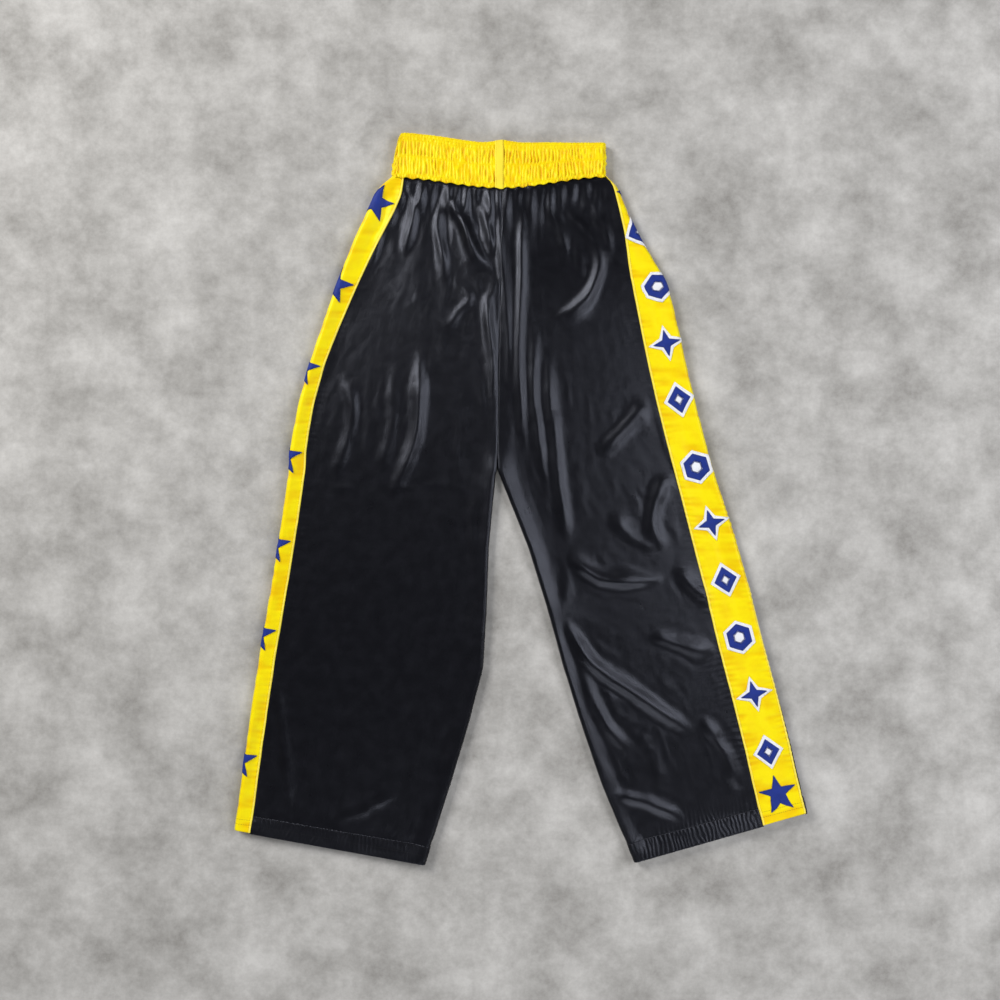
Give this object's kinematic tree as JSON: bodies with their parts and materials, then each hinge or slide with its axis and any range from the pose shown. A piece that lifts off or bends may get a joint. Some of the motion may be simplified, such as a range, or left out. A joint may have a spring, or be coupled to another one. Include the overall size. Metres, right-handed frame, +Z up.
{
  "type": "kickboxing trousers",
  "caption": "Long satin kickboxing trousers laid flat, with a shirred elastic waistband, contrasting side stripes with sewn-on stars and motifs, and elasticated hems.",
  "frame": {"origin": "on the floor, under the middle of the bounding box", "axes": "+Z up from the floor the garment lies on, +Y from the hems to the waist, +X to the right seen from above; the front faces up, so the wearer's left leg is on +X"},
  "size_m": [0.7744, 0.9894, 0.0213],
  "materials": {
    "black_satin": "polyester satin, smooth, soft sheen, dense fine weave, puckered at its seams",
    "yellow_satin": "polyester satin, smooth, soft sheen, shirred at the waist",
    "blue_satin": "closely woven blue cloth with a satin-stitched edge",
    "white_twill": "matt white backing cloth with a satin-stitched edge",
    "elastic": "ribbed woven elastic webbing, off-white, matt"
  },
  "bodies": {
    "root": {"waistband_casing": "yellow_satin", "waist_elastic": "elastic", "waistband_join_strip": "yellow_satin", "left_front_panel": "black_satin", "left_back_panel": "black_satin", "left_side_stripe": "yellow_satin", "left_hem_casing": "black_satin", "left_hem_elastic": "elastic", "right_front_panel": "black_satin", "right_back_panel": "black_satin", "right_side_stripe": "yellow_satin", "right_hem_casing": "black_satin", "right_hem_elastic": "elastic", "left_star_1": "blue_satin", "left_star_2": "blue_satin", "left_star_3": "blue_satin", "left_star_4": "blue_satin", "left_star_5": "blue_satin", "left_star_6": "blue_satin", "left_star_7": "blue_satin", "right_star_low": "blue_satin", "right_star_high": "blue_satin", "right_patch_1": "white_twill", "right_motif_1": "blue_satin", "right_patch_2": "white_twill", "right_motif_2": "blue_satin", "right_patch_3": "white_twill", "right_motif_3": "blue_satin", "right_patch_4": "white_twill", "right_motif_4": "blue_satin", "right_patch_5": "white_twill", "right_motif_5": "blue_satin", "right_patch_6": "white_twill", "right_motif_6": "blue_satin", "right_patch_7": "white_twill", "right_motif_7": "blue_satin", "right_patch_8": "white_twill", "right_motif_8": "blue_satin", "right_patch_9": "white_twill", "right_motif_9": "blue_satin", "right_patch_10": "white_twill", "right_motif_10": "blue_satin"}
  },
  "joints": []
}
